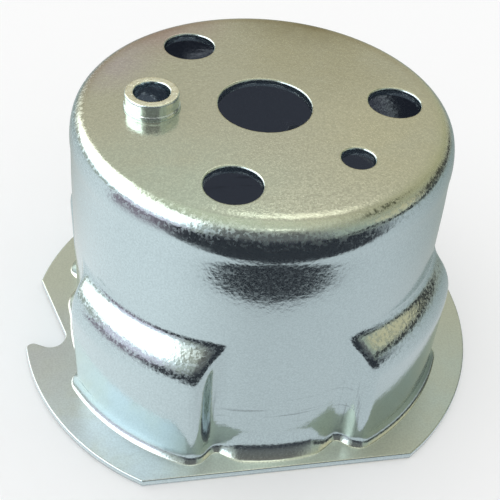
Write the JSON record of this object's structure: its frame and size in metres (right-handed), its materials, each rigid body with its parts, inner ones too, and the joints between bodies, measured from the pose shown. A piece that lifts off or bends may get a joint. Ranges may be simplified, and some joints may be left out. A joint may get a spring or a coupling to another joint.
{
  "type": "recoil starter cup",
  "caption": "Deep-drawn zinc-plated steel starter cup: pierced end plate, pawl pockets in the wall, flange with flats and a rope notch, and a pressed-in hollow locating bush.",
  "frame": {"origin": "centre of the cup's open mouth, level with the flange's underside", "axes": "+Z along the cup's axis towards the end plate, +X along the flange's two flats, away from the rope notch"},
  "size_m": [0.0993, 0.0842, 0.0607],
  "materials": {
    "zinc_plated_steel": "bright zinc plate over drawn sheet steel, blue-grey on the wall and pale olive on the flat faces",
    "zinc_plated_bush": "zinc plate over a cut tube end, pale yellow on the cut ring"
  },
  "bodies": {
    "root": {"starter_cup": "zinc_plated_steel", "locating_bush": "zinc_plated_bush"}
  },
  "joints": []
}
